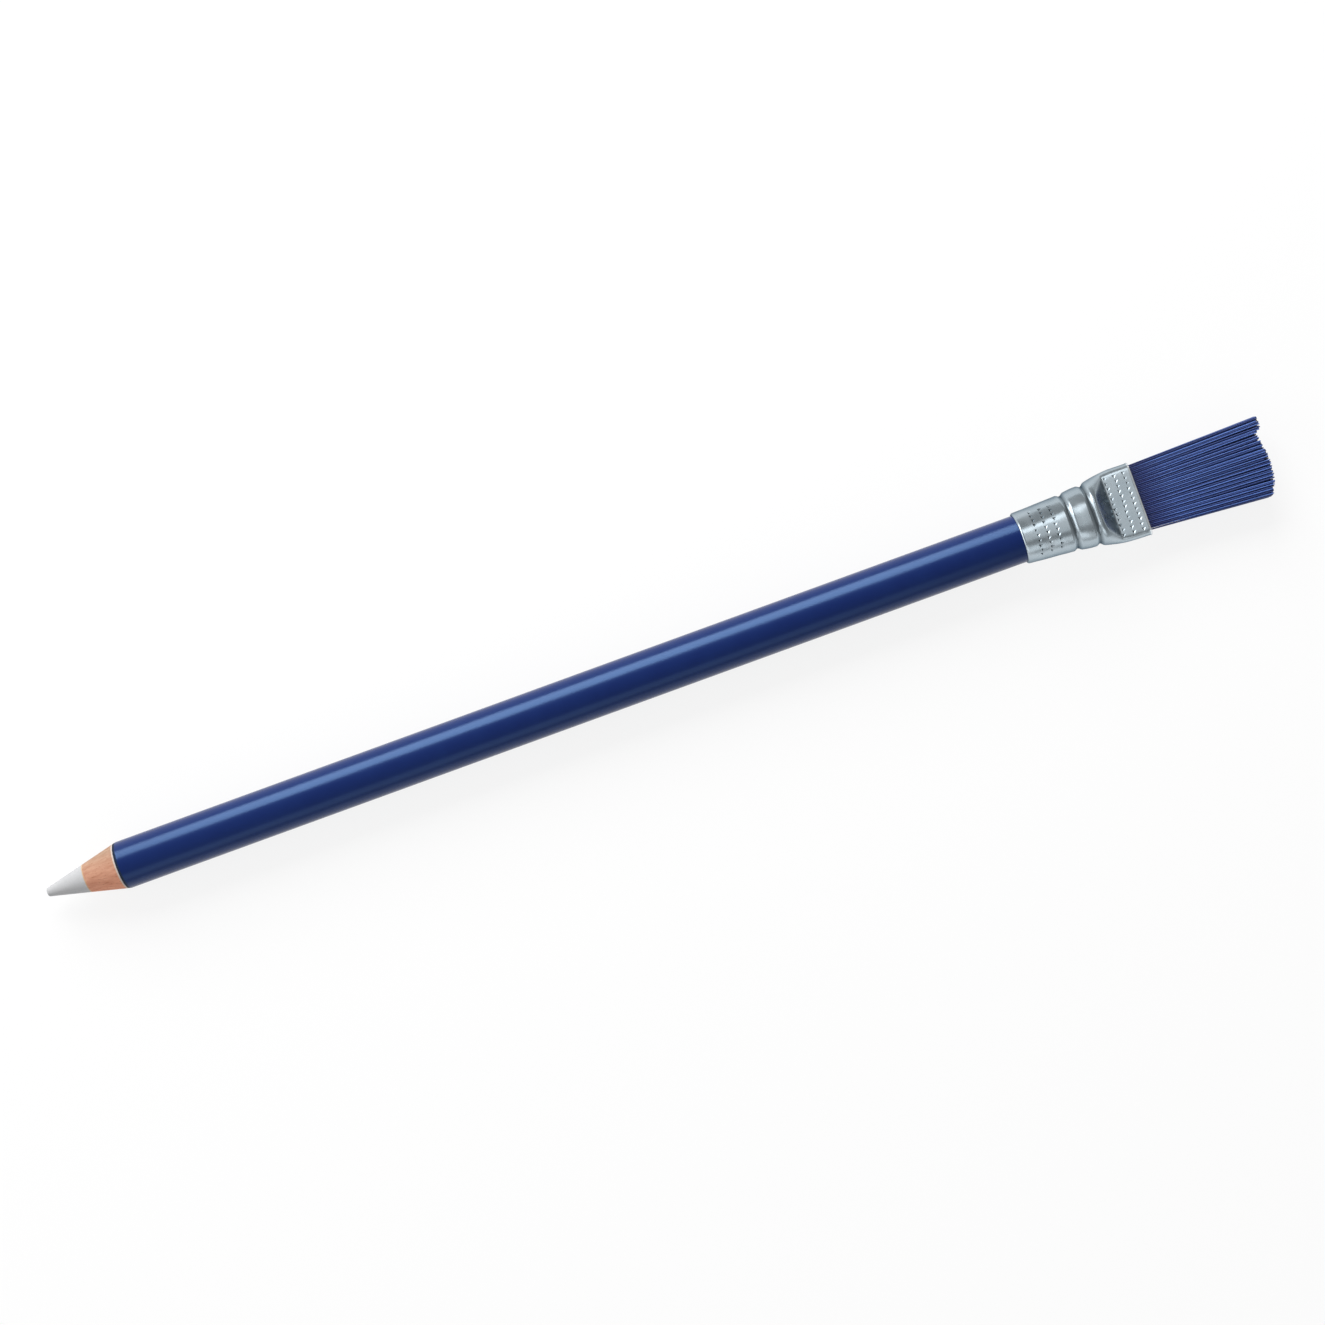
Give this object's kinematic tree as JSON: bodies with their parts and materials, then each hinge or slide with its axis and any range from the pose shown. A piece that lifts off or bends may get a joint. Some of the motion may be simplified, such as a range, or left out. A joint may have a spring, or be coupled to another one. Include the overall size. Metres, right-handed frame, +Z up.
{
  "type": "eraser pencil",
  "caption": "Round wood-cased eraser pencil, sharpened at one end, with a flat bristle brush in a pressed metal ferrule at the other.",
  "frame": {"origin": "on the axis of the barrel, at the rim of the ferrule, where a sleeve pushed over the barrel stops", "axes": "+X along the pencil from its point to its brush, +Z up and square to the flat of the brush, as the pencil lies on a table"},
  "size_m": [0.1998, 0.0125, 0.0084],
  "materials": {
    "eraser_rubber": "matt light grey hard eraser, finely scratched by the sharpener",
    "casing_wood": "bare sharpened pale brown wood with fine lengthwise grain",
    "glue": "thin cured glue line",
    "primer": "pale ground coat, cut at a slant by the sharpener",
    "blue_lacquer": "deep glossy blue lacquer",
    "ferrule_metal": "bright rolled sheet, satin in the pressed places, with rows of prick marks",
    "root_resin": "amber casting resin",
    "bristle_nylon": "stiff blue nylon filament with a soft sheen"
  },
  "bodies": {
    "handle": {"eraser_core": "eraser_rubber", "upper_slat": "casing_wood", "lower_slat": "casing_wood", "glue_film": "glue", "primer_coat": "primer", "lacquer_coat": "blue_lacquer", "ferrule": "ferrule_metal", "root_resin": "root_resin"},
    "brush": {"bristle_tuft": "bristle_nylon"}
  },
  "joints": [
    {"name": "bristle_flex", "type": "hinge", "parent": "handle", "child": "brush", "pos_m": [0.01935, -0.00036, 0], "axis": [0, 1, 0], "range_deg": [-20, 20], "stiffness_Nm_per_rad": 0.008}
  ]
}
